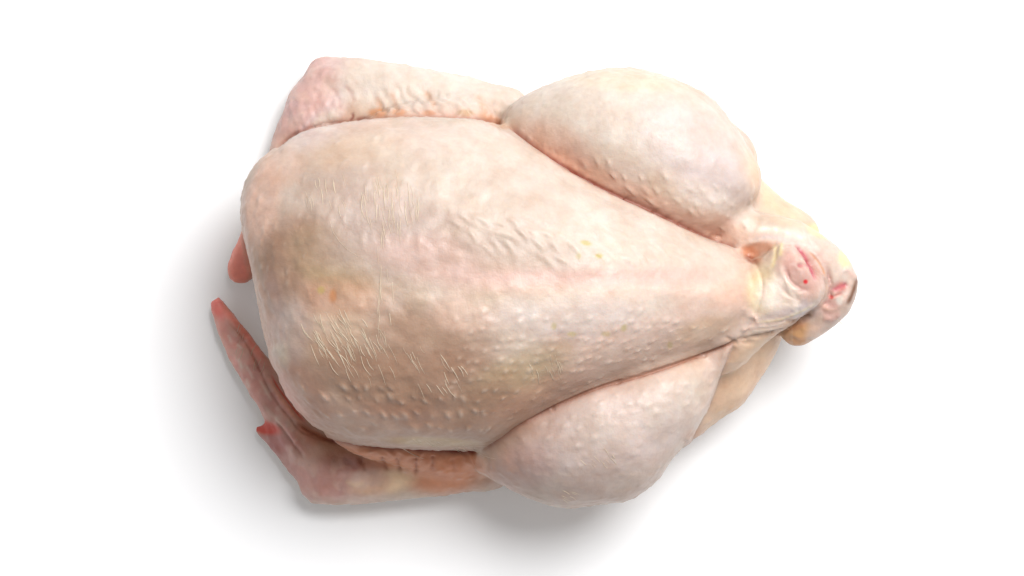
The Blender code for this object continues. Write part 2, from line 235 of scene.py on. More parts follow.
# Zones of the picture with a tint of their own: a middle, half sizes and turn in pixels
# and degrees, and a colour with the share that it covers.
ZONES = [
    # the breast, from the high shoulder down to the low one
    (335, 165, 62, 36, -12, DUSK, 0.75),
    (350, 150, 50, 18, -12, SAND, 0.35),
    (470, 165, 90, 40, 10, PALE, 0.5),
    (600, 205, 110, 26, 30, PALE, 0.5),
    (620, 250, 160, 42, 13, PALE, 0.5),
    (520, 200, 50, 50, 0, DUSK, 0.25),
    (345, 215, 60, 34, 20, DUSK, 0.6),
    (300, 258, 58, 44, 0, BROWN, 0.9),
    (335, 262, 46, 30, 30, OLIVE, 0.9),
    (322, 250, 30, 20, 0, BROWN, 0.5),
    (400, 245, 90, 40, 0, DUSK, 0.75),
    (385, 225, 60, 50, 0, LAVENDER, 0.2),
    (430, 256, 60, 22, 8, PINK, 0.6),
    (520, 252, 64, 16, 4, DUSK, 0.55),
    (338, 300, 46, 22, 0, UMBER, 0.6),
    (335, 335, 40, 26, 0, SAND, 0.55),
    (310, 355, 34, 30, 0, UMBER, 0.35),
    (425, 345, 75, 42, 14, BROWN, 0.8),
    (450, 385, 85, 34, 5, BROWN, 0.75),
    (520, 378, 60, 26, -25, OLIVE, 0.65),
    (380, 385, 80, 34, 20, BROWN, 0.9),
    (294, 392, 28, 58, -38, RUDDY, 0.7),
    (385, 427, 110, 26, 4, RUDDY, 0.4),
    (462, 316, 34, 20, 10, BLUSH, 0.5),
    (485, 415, 46, 34, -25, BROWN, 0.85),
    (545, 395, 70, 18, -27, UMBER, 0.6),
    (430, 442, 50, 5, 2, FAT, 0.4),
    (606, 308, 96, 24, 4, WHITE_SKIN, 0.5),
    (600, 322, 110, 22, 4, LAVENDER, 0.35),
    (640, 345, 80, 26, -14, BLUSH, 0.7),
    (712, 310, 46, 34, -10, BLUSH, 0.85),
    (738, 285, 26, 30, 0, ROSE, 0.6),
    (704, 330, 34, 13, -18, TAN, 0.7),
    # the neck end and its edge, and two specks near it
    (262, 205, 18, 48, 12, ROSE, 0.75),
    (280, 165, 24, 22, 0, ROSE, 0.4),
    (272, 300, 12, 30, -8, MAUVE, 0.3),
    (274, 335, 12, 24, -4, ROSE, 0.6),
    (290, 330, 22, 34, 0, LAVENDER, 0.3),
    (278, 358, 12, 17, 10, GREY_SKIN, 0.8),
    (290, 392, 12, 26, -35, GREY_SKIN, 0.3),
    (333, 296, 4, 7, 0, RUST, 0.6),
    (321, 290, 4, 4, 0, SPECK, 0.4),
    # the legs
    (620, 110, 110, 50, 15, PALE, 0.8),
    (690, 145, 60, 40, 40, LAVENDER, 0.45),
    (715, 190, 40, 40, 30, LAVENDER, 0.5),
    # painted light: the upper leg made lighter on its lower left side, which faces away from the light
    (704, 206, 56, 22, 28, WHITE_SKIN, 0.5),
    (690, 214, 60, 15, 28, TAN, 0.2),
    (620, 78, 70, 14, 5, FAT, 0.2),
    (560, 145, 40, 20, 35, ROSE, 0.4),
    # painted shade beside the upper crease
    (590, 174, 50, 12, 30, CREASE_SHADE_BROWN, 0.2),
    (665, 208, 80, 10, 28, ROSE, 0.5),
    (725, 228, 36, 12, 25, ROSE, 0.5),
    (540, 445, 56, 34, -25, BROWN, 0.75),
    # painted shade: darker along the lower leg's lower side, which faces away from the light
    (570, 472, 56, 22, -12, DUSK, 0.6),
    (520, 470, 36, 26, -25, MAUVE, 0.4),
    (610, 440, 100, 60, -20, LAVENDER, 0.45),
    (640, 400, 90, 40, -25, PALE, 0.3),
    # painted shade along the lower leg's lower edge
    (590, 488, 80, 22, -8, DUSK, 0.3),
    (778, 190, 22, 48, -35, TAN, 0.85),
    (700, 440, 18, 12, 0, RUST, 0.3),
    # the low wing's hand and thumb, and the high wing
    (258, 385, 28, 100, -35, HAND_PINK, 0.7),
    (234, 350, 11, 46, -30, HAND_PINK, 0.8),
    (286, 426, 16, 12, 30, BLUSH, 0.6),
    (288, 468, 26, 30, 30, MAUVE, 0.9),
    (272, 441, 17, 13, 45, THUMB_RED, 0.9),
    (310, 488, 22, 14, 0, MAUVE, 0.6),
    (318, 458, 20, 14, 0, BLUSH, 0.9),
    (312, 95, 36, 50, 20, WING_MAUVE, 0.8),
    (292, 104, 10, 50, 30, MAUVE, 0.3),
    (326, 122, 14, 9, -30, PALE, 0.7),
    (415, 86, 100, 26, 4, PALE, 0.9),
    # the near hock's cut face and its shank
    (802, 268, 24, 33, 10, CUT_PINK, 0.8),
    (806, 266, 17, 24, 10, DUSK, 0.35),
    (800, 240, 42, 12, 8, PALE, 0.6),
    (768, 236, 22, 9, 0, BLUSH, 0.6),
    # painted shade in the hollow between the breast's tip and the upper shank
    (760, 248, 18, 6, -8, CREASE_SHADE_BROWN, 0.6),
    (751, 254, 13, 7, 38, CREASE_SHADE_BROWN, 0.7),
    (752, 260, 8, 3.5, 30, CREASE_SHADE_RED, 0.6),
    # the shanks and the cut hocks
    (820, 231, 14, 7, 20, FAT, 0.8),
    (846, 258, 8, 10, 0, FAT, 0.8),
    (762, 290, 16, 26, 0, FAT, 0.6),
    (777, 296, 21, 20, -10, WHITE_SKIN, 0.85),
    (780, 320, 42, 11, -18, LAVENDER, 0.8),
    (805.6, 281.7, 2.4, 2.4, 0, BLOOD, 1.0),
    (831, 297, 2.4, 2.4, 0, BLOOD, 1.0),
    (839, 288, 10, 7, -30, MAUVE, 0.8),
    (841, 287, 6, 4, -30, CRAB_RED, 0.4),
    (830, 308, 9, 10, 30, MAUVE, 0.7),
    (840, 300, 4, 5, 0, PALE, 0.9),
    (797, 334, 17, 13, 0, HONEY, 1.0),
    (794, 325, 14, 6, -15, ARM_TAN, 0.5),
    (797, 343, 14, 6, 0, ARM_TAN, 0.4),
    (817, 335, 12, 12, 0, BLUSH, 0.8),
    # yellow specks on the breast, and rusty ones along the high wing
    (586, 243, 6, 2.6, 15, SPECK, 0.6),
    (599, 256, 4, 2.6, 0, SPECK, 0.7),
    (579, 256, 2.6, 4, 0, SPECK, 0.4),
    (554, 326, 2.6, 4, 0, SPECK, 0.4),
    (572, 334, 5, 2.6, 0, SPECK, 0.4),
    (606, 334, 5, 2.6, 0, SPECK, 0.35),
    (624, 328, 3, 4, 20, SPECK, 0.45),
    (670, 345, 3, 4, 0, SPECK, 0.4),
    (378, 113, 10, 5, 0, RUST, 0.7),
    (399, 112, 7, 4, 0, RUST, 0.55),
    (429, 113, 7, 3, 0, RUST, 0.5),
    (466, 113, 9, 4, 0, OLIVE, 0.8),
    (494, 121, 16, 5, 28, RUST, 0.5),
]

# Tints of the wings alone, in the same way.
WING_ZONES = [
    (394, 455, 66, 17, 0, ARM_TAN, 0.95),
    (458, 464, 22, 20, 0, ARM_TAN, 0.8),
    (446, 474, 44, 22, -4, ARM_TAN, 0.85),
    (382, 482, 32, 12, -5, BUTTER, 0.95),
    (366, 478, 22, 10, 0, PALE, 0.6),
    (350, 463, 12, 9, 20, MAUVE, 0.8),
    (332, 478, 18, 26, 0, MAUVE, 0.6),
]

# Creases: a path, the side of it where the upper skin lies, the crease's depth, its reach
# below and the rim above it in millimetres, and the shares of painted red-brown shade in
# it and of painted brown shade over it.
CREASES = [
    (UPPER_LEG_CREASE, 1, 3.6, 1.4, 0.9, 1.0, 0.0),
    (LOWER_LEG_CREASE, -1, 2.8, 1.3, 0.4, 0.38, 0.7),
    (UPPER_LEG_END, -1, 0.6, 1.2, 0.3, 0.05, 0.0),
    (LOWER_LEG_END, 1, 2.0, 1.4, 0.9, 0.1, 0.0),
    (BREAST_TIP, 1, 0.9, 1.6, 0.3, 0.1, 0.0),
    (LOW_WING_GAP, -1, 3.2, 1.8, 0.4, 1.0, 0.7),
    (HIGH_WING_GAP, 1, 2.6, 1.3, 0.9, 0.45, 0.0),
]

# Tints of the red ends that lie low: the low wing's tip, the point beside the neck end and
# the thumb's tip, in the same way.
RED_ENDS = [
    (215, 303, 9, 19, -30, FLESH, 0.85),
    (241, 258, 18, 36, 10, SALMON, 1.0),
    (263, 427, 18, 7, 14, CRAB_RED, 1.2),
]

# Places with a form of their own: a middle, half sizes and turn in pixels and degrees.
LOOSE_BREAST = (380, 300, 150, 170)
NECK_LUMP = (278, 357, 9, 13)
SHANK_HOLLOW = (757, 250, 15, 7)
HIGH_FOREARM = (405, 103, 110, 15, 3)
LOW_FOREARM = (430, 466, 90, 16, 2)
HANDS = [(300, 95, 30, 60, 28), (262, 390, 30, 110, -33), (330, 478, 60, 26, 5)]
HOCK_LUMPS = (802, 285, 56, 62)
RUMP = (748, 385, 42, 72, 38)

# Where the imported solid's ledge under the breast is smoothed away: a middle and half
# sizes in pixels, the height that it stays under in millimetres, and how often and how
# much it is smoothed.
LEDGE = (388, 462, 66, 15)
LEDGE_TOP = 60
LEDGE_ROUNDS = 40
LEDGE_SHARE = 0.6


def step(low, high, value):
    """0 below low, 1 above high, and smooth between."""
    t = np.clip((value - low) / (high - low), 0.0, 1.0)
    return t * t * (3 - 2 * t)


def bell(value, width):
    return np.exp(-((value / width) ** 2))


def smooth_path(points, count=PATH_POINTS):
    """The path through the points as a smooth curve of count points."""
    points = np.array(points, float)
    last = len(points) - 1
    result = []
    for place in np.linspace(0, last - 1e-6, count):
        i = int(place)
        f = place - i
        before, here = points[max(i - 1, 0)], points[i]
        there, after = points[i + 1], points[min(i + 2, last)]
        rise, fall = (there - before) / 2, (after - here) / 2
        start = here * (2 * f**3 - 3 * f**2 + 1) + rise * (f**3 - 2 * f**2 + f)
        result.append(start + there * (3 * f**2 - 2 * f**3) + fall * (f**3 - f**2))
    return np.array(result)


def picture_place(place):
    """The pixels at which the camera sees places in millimetres, and a pixel's size there."""
    depth = CAMERA.z / MM - place[:, 2]
    u = PICTURE_WIDE / 2 + FOCAL_PIXELS * (place[:, 0] - CAMERA.x / MM) / depth
    v = PICTURE_HIGH / 2 - FOCAL_PIXELS * (place[:, 1] - CAMERA.y / MM) / depth
    return u, v, depth / FOCAL_PIXELS


def path_distance(path, u, v, pixel):
    """Distance from a pixel path in millimetres, its side, and the share along the path."""
    line = smooth_path(path)
    best = np.full(len(u), 1e9)
    side = np.zeros(len(u))
    share = np.zeros(len(u))
    for i in range(len(line) - 1):
        start, run = line[i], line[i + 1] - line[i]
        du, dv = u - start[0], v - start[1]
        t = np.clip((du * run[0] + dv * run[1]) / (run @ run), 0, 1)
        away = np.hypot(du - t * run[0], dv - t * run[1])
        closer = away < best
        best = np.where(closer, away, best)
        side = np.where(closer, np.sign(run[0] * dv - run[1] * du), side)
        share = np.where(closer, (i + t) / (len(line) - 1), share)
    return best * pixel, side, share


def pixel_ray(u, v):
    """The direction in which the camera sees a pixel."""
    across = (u - PICTURE_WIDE / 2) / FOCAL_PIXELS
    up = (PICTURE_HIGH / 2 - v) / FOCAL_PIXELS
    return Vector((across, up, -1.0)).normalized()


def lumps(place, size, seed):
    """Soft noise from -1 to 1 with lumps of about the given size, in two octaves."""
    total = np.zeros(len(place))
    for octave, weight in ((1.0, 0.7), (0.53, 0.3)):
        rng = np.random.default_rng(seed + int(octave * 100))
        grid = rng.uniform(-1, 1, (NOISE_CELLS, NOISE_CELLS, NOISE_CELLS))
        q = place / (size * octave) + NOISE_SHIFT + seed * NOISE_SEED_SHIFT
        base = np.floor(q).astype(int)
        f = q - base
        f = f * f * f * (f * (f * 6 - 15) + 10)
        for dx in (0, 1):
            for dy in (0, 1):
                for dz in (0, 1):
                    corner = (base + (dx, dy, dz)) % NOISE_CELLS
                    share = np.abs(1 - dx - f[:, 0]) * np.abs(1 - dy - f[:, 1]) * np.abs(1 - dz - f[:, 2])
                    total += weight * 1.5 * share * grid[corner[:, 0], corner[:, 1], corner[:, 2]]
    return np.clip(total, -1, 1)


def apply_modifiers(obj):
    graph = bpy.context.evaluated_depsgraph_get()
    mesh = bpy.data.meshes.new_from_object(obj.evaluated_get(graph))
    obj.modifiers.clear()
    obj.data = mesh


def grow_mesh(source):
    """An even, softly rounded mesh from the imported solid."""
    mesh = source.data.copy()
    bm = bmesh.new()
    bm.from_mesh(mesh)
    bmesh.ops.remove_doubles(bm, verts=bm.verts, dist=1e-6)
    bm.to_mesh(mesh)
    bm.free()
    mesh.materials.clear()
    obj = bpy.data.objects.new("skin", mesh)
    bpy.context.scene.collection.objects.link(obj)
    rounder = obj.modifiers.new("rounder", "SUBSURF")
    rounder.levels = rounder.render_levels = 1
    even = obj.modifiers.new("even", "REMESH")
    even.mode = "VOXEL"
    even.voxel_size = SKIN_CELL * MM
    soft = obj.modifiers.new("soft", "SMOOTH")
    soft.factor = SMOOTHING_SHARE
    soft.iterations = FIRST_SMOOTHING
    apply_modifiers(obj)
    return obj


def mesh_tree(mesh):
    points = [v.co.copy() for v in mesh.vertices]
    return BVHTree.FromPolygons(points, [tuple(p.vertices) for p in mesh.polygons])


def sees(tree, place, normal):
    """Whether the camera sees a place on the skin, in millimetres."""
    if normal[2] < -0.05:
        return False
    start = Vector(place) * MM + Vector(normal) * MM
    return tree.ray_cast(start, (CAMERA - start).normalized())[0] is None


def face_places(mesh):
    """The middles of the faces in millimetres, and their normals."""
    centre = np.zeros(len(mesh.polygons) * 3, np.float32)
    mesh.polygons.foreach_get("center", centre)
    normal = np.zeros(len(mesh.polygons) * 3, np.float32)
    mesh.polygons.foreach_get("normal", normal)
    return centre.reshape(-1, 3) / MM, normal.reshape(-1, 3)


def split_faces(obj, chosen):
    """Splits the chosen faces in four, and smooths the mesh a little."""
    bm = bmesh.new()
    bm.from_mesh(obj.data)
    bm.faces.ensure_lookup_table()
    edges = set()
    for i in np.flatnonzero(chosen):
        edges.update(bm.faces[i].edges)
    bmesh.ops.subdivide_edges(bm, edges=list(edges), cuts=1, use_grid_fill=True)
    for _ in range(NEXT_SMOOTHING):
        bmesh.ops.smooth_vert(
            bm, verts=bm.verts, factor=SMOOTHING_SHARE, use_axis_x=True, use_axis_y=True, use_axis_z=True
        )
    bm.to_mesh(obj.data)
    bm.free()


def refine(obj):
    """Finer cells where the picture shows the skin, and finest along its sharp lines."""
    tree = mesh_tree(obj.data)
    place, normal = face_places(obj.data)
    split_faces(obj, [sees(tree, p, n) for p, n in zip(place, normal)])
    place, normal = face_places(obj.data)
    u, v, pixel = picture_place(place)
    sharp = np.hypot((u - HOCKS[0]) / HOCKS[2], (v - HOCKS[1]) / HOCKS[3]) < 1
    lines = (UPPER_LEG_CREASE, LOWER_LEG_CREASE, LOWER_LEG_END, BREAST_TIP, LOW_WING_GAP, HIGH_WING_GAP)
    for path in lines + (HAND_FLAP, FLAP_FOLD, THUMB_LINE):
        sharp |= path_distance(path, u, v, pixel)[0] < FINEST_REACH
    split_faces(obj, sharp & (normal[:, 2] > -0.1) & (place[:, 2] > FINEST_FROM))


class Skin:
    """The skin mesh with its numbers: places in millimetres, normals, pixels and tints."""

    def __init__(self, source):
        self.obj = grow_mesh(source)
        refine(self.obj)
        mesh = self.obj.data
        self.count = len(mesh.vertices)
        ends = np.zeros(len(mesh.edges) * 2, np.int64)
        mesh.edges.foreach_get("vertices", ends)
        self.near, self.far = ends.reshape(-1, 2).T
        self.degree = np.bincount(ends, minlength=self.count)
        self.tint = np.tile(CREAM, (self.count, 1))
        self.pimple_highlight = np.zeros(self.count)
        self.read()
        tree = mesh_tree(mesh)
        seen = [float(sees(tree, p, n)) for p, n in zip(self.place, self.normal)]
        self.seen = self.spread(np.array(seen), 3)
        self.up = self.spread(step(-0.3, 0.1, self.normal[:, 2]), 3)

    def read(self):
        """Takes the places and normals from the mesh, and where the picture shows them."""
        mesh = self.obj.data
        co = np.zeros(self.count * 3, np.float32)
        mesh.vertices.foreach_get("co", co)
        self.place = co.reshape(-1, 3).astype(float) / MM
        normal = np.zeros(self.count * 3, np.float32)
        mesh.vertex_normals.foreach_get("vector", normal)
        self.normal = normal.reshape(-1, 3).astype(float)
        self.u, self.v, self.pixel = picture_place(self.place)

    def raise_by(self, height):
        """Moves every point along its normal by its own height."""
        place = self.place + self.normal * height[:, None]
        mesh = self.obj.data
        mesh.vertices.foreach_set("co", (place * MM).astype(np.float32).ravel())
        mesh.update()
        self.read()

    def spread(self, values, rounds):
        """Blurs values over the mesh."""
        for _ in range(rounds):
            total = np.bincount(self.near, values[self.far], self.count)
            total += np.bincount(self.far, values[self.near], self.count)
            values = (values + total / self.degree) / 2
        return values

    def from_path(self, path):
        """As path_distance, for the points near the path; the others are far away."""
        corners = np.array(path, float)
        low, high = corners.min(axis=0) - PATH_REACH, corners.max(axis=0) + PATH_REACH
        near = (self.u > low[0]) & (self.u < high[0]) & (self.v > low[1]) & (self.v < high[1])
        away, side, share = np.full(self.count, 1e3), np.zeros(self.count), np.zeros(self.count)
        found = path_distance(path, self.u[near], self.v[near], self.pixel[near])
        away[near], side[near], share[near] = found
        return away, side, share

    def lumps(self, size, seed):
        return lumps(self.place, size, seed)

    def spot(self, u, v, wide, high, turn=0.0):
        """1 at the middle of an ellipse in the picture, falling to 0 past its rim."""
        c, s = math.cos(math.radians(turn)), math.sin(math.radians(turn))
        du, dv = self.u - u, self.v - v
        a = (du * c + dv * s) / wide
        b = (-du * s + dv * c) / high
        return (1 - step(0.5, 1.35, np.hypot(a, b))) * self.up

    def paint(self, colour, weight):
        weight = np.clip(weight, 0.0, 1.0)[:, None]
        self.tint = self.tint * (1 - weight) + colour * weight


def unevenness(skin):
    """Loose flesh is never quite smooth."""
    height = 0.9 * skin.lumps(26, 1) + 0.4 * skin.lumps(11, 2)
    loose = skin.spot(*LOOSE_BREAST) * step(-0.6, 0.6, skin.lumps(19, 8))
    height += 0.42 * skin.lumps(5.5, 3) * (0.2 + loose)
    height += 0.07 * skin.lumps(3.0, 4) * (0.3 + loose)
    skin.raise_by(height * step(1.0, 6.0, skin.place[:, 2]))


def relax(skin, weight, rounds):
    """Smooths the mesh where the weight is high."""
    touched = (weight[skin.near] > 0) | (weight[skin.far] > 0)
    near, far = skin.near[touched], skin.far[touched]
    ids = np.unique(np.concatenate((near, far)))
    for _ in range(rounds):
        for axis in range(3):
            line = skin.place[:, axis]
            total = np.bincount(near, line[far], skin.count) + np.bincount(far, line[near], skin.count)
            line[ids] += (total[ids] / skin.degree[ids] - line[ids]) * LEDGE_SHARE * weight[ids]
    skin.raise_by(np.zeros(skin.count))


def carve_creases(skin):
    """Deepens the lines where one part of the bird lies against another, and marks where shade is painted in
    and beside them.
    """
    height = np.zeros(skin.count)
    skin.crease = np.zeros(skin.count)
    skin.under = np.zeros(skin.count)
    skin.wing = np.zeros(skin.count)
    skin.shade = np.zeros(skin.count)
    for path, over, depth, reach, rim, crease_shading, shade in CREASES:
        away, side, share = skin.from_path(path)
        below = -over * side * away
        ends = step(0.0, 0.08, share) * step(0.0, 0.06, 1 - share) * skin.up
        if path is UPPER_LEG_CREASE:
            # painted shade strongest a third of the way along
            crease_shading *= 0.5 + 0.5 * bell(share - 0.33, 0.22)
        height -= depth * np.exp(-np.maximum(below, 0) / reach) * step(-0.5, 0.7, below) * ends
        height += rim * bell(below + 1.8, 1.5) * ends
        # painted shade: a red-brown line in each crease, a brown band on the skin below it, and brown over
        # the upper skin beside the lower creases
        skin.crease = np.maximum(skin.crease, crease_shading * ends * bell(below - 0.6, 1.0))
        near = np.exp(-np.maximum(below, 0) / (2.5 + 2.5 * crease_shading)) * step(-0.3, 0.5, below)
        skin.under = np.maximum(skin.under, crease_shading * ends * near)
        skin.shade = np.maximum(skin.shade, shade * ends * np.exp(np.minimum(below, 0) / 4) * (below < 1))
        if path in (LOW_WING_GAP, HIGH_WING_GAP):
            skin.wing = np.maximum(skin.wing, step(0.5, 2.5, below) * (away < 30) * skin.up * skin.seen)
    skin.wing = skin.spread(skin.wing, 6)
    away, _, share = skin.from_path(NECK_EDGE)
    skin.rim = bell(away - 0.8, 1.3) * skin.up * step(0, 0.1, share) * step(0, 0.1, 1 - share)
    height += 0.5 * skin.rim + 1.1 * skin.spot(*NECK_LUMP) - 0.6 * skin.spot(*SHANK_HOLLOW)
    skin.raise_by(skin.spread(height, 1))


def draw_lines(skin):
    """Ridges, grooves and their colours along the drawn lines."""
    height = np.zeros(skin.count)
    skin.drawn = []
    uneven = 0.75 + 0.5 * skin.lumps(2.6, 42)
    for path, width, rise, colour, share in LINES:
        away, _, along = skin.from_path(path)
        shape = bell(away, width) * skin.up * step(-0.02, 0.25, along) * step(-0.02, 0.25, 1 - along)
        shape *= skin.seen * (away < 4 * width)
        height += rise * shape * uneven
        skin.drawn.append((colour, share * shape))
    skin.raise_by(height)


def waves(skin, lean, pitch, seed):
    """Folds across the picture: pitch in pixels, lean of the folds in degrees."""
    c, s = math.cos(math.radians(lean)), math.sin(math.radians(lean))
    across = skin.u * s + skin.v * c
    phase = across / pitch + 0.7 * skin.lumps(8, seed)
    return np.sin(2 * math.pi * phase)


def wing_folds(skin):
    """Cross folds of loose skin on the forearms, and crinkled skin on the hands."""
    high_arm = skin.spot(*HIGH_FOREARM) * skin.wing * step(-0.9, 0.4, skin.lumps(13, 40))
    low_arm = skin.spot(*LOW_FOREARM) * skin.wing * step(-0.9, 0.4, skin.lumps(11, 41))
    height = 0.5 * waves(skin, -64, 12.5, 31) * high_arm
    height += 0.35 * waves(skin, -82, 17, 32) * low_arm
    hands = np.maximum.reduce([skin.spot(*hand) for hand in HANDS])
    skin.hands = hands * step(0.0, 6.0, HANDS_TOP - skin.place[:, 2])
    crinkle = 1 - np.abs(skin.lumps(6.5, 33)) * 2.6
    height += (0.2 * crinkle + 0.65 * skin.lumps(8, 37) + 0.2 * skin.lumps(3, 34)) * skin.hands
    hocks = skin.spot(*HOCK_LUMPS)
    height += (0.35 * skin.lumps(5, 35) + 0.1 * skin.lumps(2.2, 36)) * hocks
    skin.raise_by(skin.spread(height, 1))


# Tracts of feather pimples seen in the picture: an outline in pixels, the pitch across
# and down in pixels, the lean of each pimple in degrees from the picture's right, and its
# half length, half width and height in millimetres.
TRACTS = [
    ([(330, 128), (400, 120), (480, 124), (505, 150), (470, 195), (400, 190), (335, 175)],
     17, 21, 72, 3.6, 1.5, 0.35),
    ([(300, 165), (335, 175), (430, 190), (430, 240), (380, 245), (300, 225)], 12, 18, 85, 3.0, 0.8, 0.35),
    ([(470, 208), (600, 224), (700, 250), (690, 266), (560, 262), (430, 242)], 15, 13, -38, 3.8, 1.05, 0.62),
    ([(450, 312), (640, 310), (735, 330), (640, 368), (560, 396), (500, 425), (440, 380)],
     11, 10, 35, 1.5, 1.1, 0.5),
    ([(300, 385), (400, 385), (480, 395), (492, 432), (400, 440), (335, 428), (290, 405)],
     13, 14, -68, 2.1, 1.0, 0.8),
    ([(258, 215), (300, 215), (320, 300), (285, 350), (264, 290)], 13, 14, 80, 2.0, 1.1, 0.35),
    ([(555, 150), (600, 160), (690, 180), (752, 180), (758, 222), (735, 238), (645, 200)],
     12, 13, -58, 2.6, 1.0, 0.62),
    ([(560, 90), (690, 110), (745, 170), (620, 150), (530, 130)], 15, 14, -50, 1.5, 1.2, 0.14),
    ([(505, 445), (560, 414), (640, 386), (724, 360), (708, 400), (600, 445), (520, 465)],
     12, 11, 25, 1.6, 1.0, 0.42),
    ([(520, 472), (600, 445), (705, 405), (665, 470), (600, 500), (545, 495)], 13, 12, 10, 1.6, 1.1, 0.25),
    ([(228, 322), (248, 340), (262, 380), (300, 440), (300, 470), (262, 410)], 8.5, 8.5, 50, 1.2, 0.9, 0.4),
    ([(300, 75), (330, 60), (360, 100), (300, 130), (285, 125)], 9, 9, 60, 1.2, 0.9, 0.3),
]
# The share of them that is left out.
MISSING_PIMPLES = 0.12
# Each pimple: how far it is worked out, in half lengths, how much it bends, and the height
# at which its top has its full painted highlight.
PIMPLE_REACH = 2.2
PIMPLE_BEND = 0.12
FULL_HIGHLIGHT_HEIGHT = 0.6
# Pimples where the picture shows nothing: pitch, half length, half width and heights.
HIDDEN_PITCH = 5.4
HIDDEN_LENGTH = 1.7
HIDDEN_WIDTH = 1.15
HIDDEN_HEIGHTS = (0.15, 0.45)
# The sides that they cover: where the rays start, their aim, the two directions of the
# rows, and the rows' ranges.
HIDDEN_SIDES = [
    ((0, -300, 0), (0, 1, 0), (1, 0, 0), (0, 0, 1), (-100, 100), (8, 70)),
    ((0, 300, 0), (0, -1, 0), (1, 0, 0), (0, 0, 1), (-100, 100), (8, 70)),
    ((0, 0, -200), (0, 0, 1), (1, 0, 0), (0, 1, 0), (-100, 100), (-85, 85)),
    ((-300, 0, 0), (1, 0, 0), (0, 1, 0), (0, 0, 1), (-60, 60), (25, 100)),
]


def inside(outline, u, v):
    """Whether a pixel lies inside an outline."""
    odd = False
    for (u0, v0), (u1, v1) in zip(outline, outline[1:] + outline[:1]):
        if (v0 > v) != (v1 > v) and u < (u1 - u0) * (v - v0) / (v1 - v0) + u0:
            odd = not odd
    return odd


def lattice(outline, across, down, rng):
    """Staggered points inside an outline, each a little out of place."""
    us = [p[0] for p in outline]
    vs = [p[1] for p in outline]
    rows = int((max(vs) - min(vs)) / down) + 1
    columns = int((max(us) - min(us)) / across) + 1
    for j in range(rows + 1):
        for i in range(columns + 1):
            u = min(us) + (i + 0.5 * (j % 2) + rng.uniform(-0.25, 0.25)) * across
            v = min(vs) + (j + rng.uniform(-0.25, 0.25)) * down
            if inside(outline, u, v):
                yield u, v


def seen_pimples(tree, rng):
    """Places, directions and sizes of the pimples of the tracts."""
    for outline, across, down, lean, length, width, rise in TRACTS:
        for u, v in lattice(outline, across, down, rng):
            turn = math.radians(lean + rng.uniform(-20, 20))
            line = Vector((math.cos(turn), math.sin(turn), 0.0))
            size = rng.uniform(0.6, 1.3)
            tall = rise * rng.uniform(0.4, 1.3)
            spot, normal, _, _ = tree.ray_cast(CAMERA, pixel_ray(u, v))
            if spot is not None and rng.random() > MISSING_PIMPLES:
                yield spot / MM, normal, line, length * size, width * size, tall


def hidden_pimples(tree, rng):
    """Pimples on the sides and the back, which the picture doesn't show."""
    for start, aim, first, second, (a0, a1), (b0, b1) in HIDDEN_SIDES:
        start, aim, first, second = Vector(start), Vector(aim), Vector(first), Vector(second)
        for j in range(int((b1 - b0) / HIDDEN_PITCH)):
            for i in range(int((a1 - a0) / HIDDEN_PITCH)):
                a = a0 + (i + 0.5 * (j % 2) + rng.uniform(-0.25, 0.25)) * HIDDEN_PITCH
                b = b0 + (j + rng.uniform(-0.25, 0.25)) * HIDDEN_PITCH
                tall = rng.uniform(*HIDDEN_HEIGHTS)
                spot, normal, _, _ = tree.ray_cast((start + first * a + second * b) * MM, aim)
                if spot is not None and normal.dot(aim) < -0.45 and normal.z < 0.75:
                    yield spot / MM, normal, first + second * 0.4, HIDDEN_LENGTH, HIDDEN_WIDTH, tall


def pimples(skin):
    """Feather pimples over the skin, in rows."""
    rng = random.Random(SEED)
    tree = mesh_tree(skin.obj.data)
    finder = KDTree(skin.count)
    for i, place in enumerate(skin.place):
        finder.insert(place, i)
    finder.balance()
    height = np.zeros(skin.count)
    for spot, normal, line, length, width, tall in [*seen_pimples(tree, rng), *hidden_pimples(tree, rng)]:
        along = (line - normal * line.dot(normal)).normalized()
        across = normal.cross(along)
        ids = np.array([i for _, i, _ in finder.find_range(spot, PIMPLE_REACH * length)], int)
        if len(ids) == 0:
            continue
        off = skin.place[ids] - np.array(spot)
        bend = PIMPLE_BEND * (off @ np.array(along)) ** 2 / length
        shape = bell(off @ np.array(along), length) * bell(off @ np.array(across) + bend, width)
        height[ids] = np.maximum(height[ids], tall * shape)
        # how much painted highlight the pimple's top gets
        skin.pimple_highlight[ids] = np.maximum(skin.pimple_highlight[ids], shape * min(tall / FULL_HIGHLIGHT_HEIGHT, 1.0))
    skin.raise_by(height)


def paint_zones(skin, zones, where):
    """Lays the tints of a table on the skin, in their order, where a mask lets them."""
    for u, v, wide, high, turn, colour, share in zones:
        skin.paint(colour, share * skin.spot(u, v, wide, high, turn) * where)


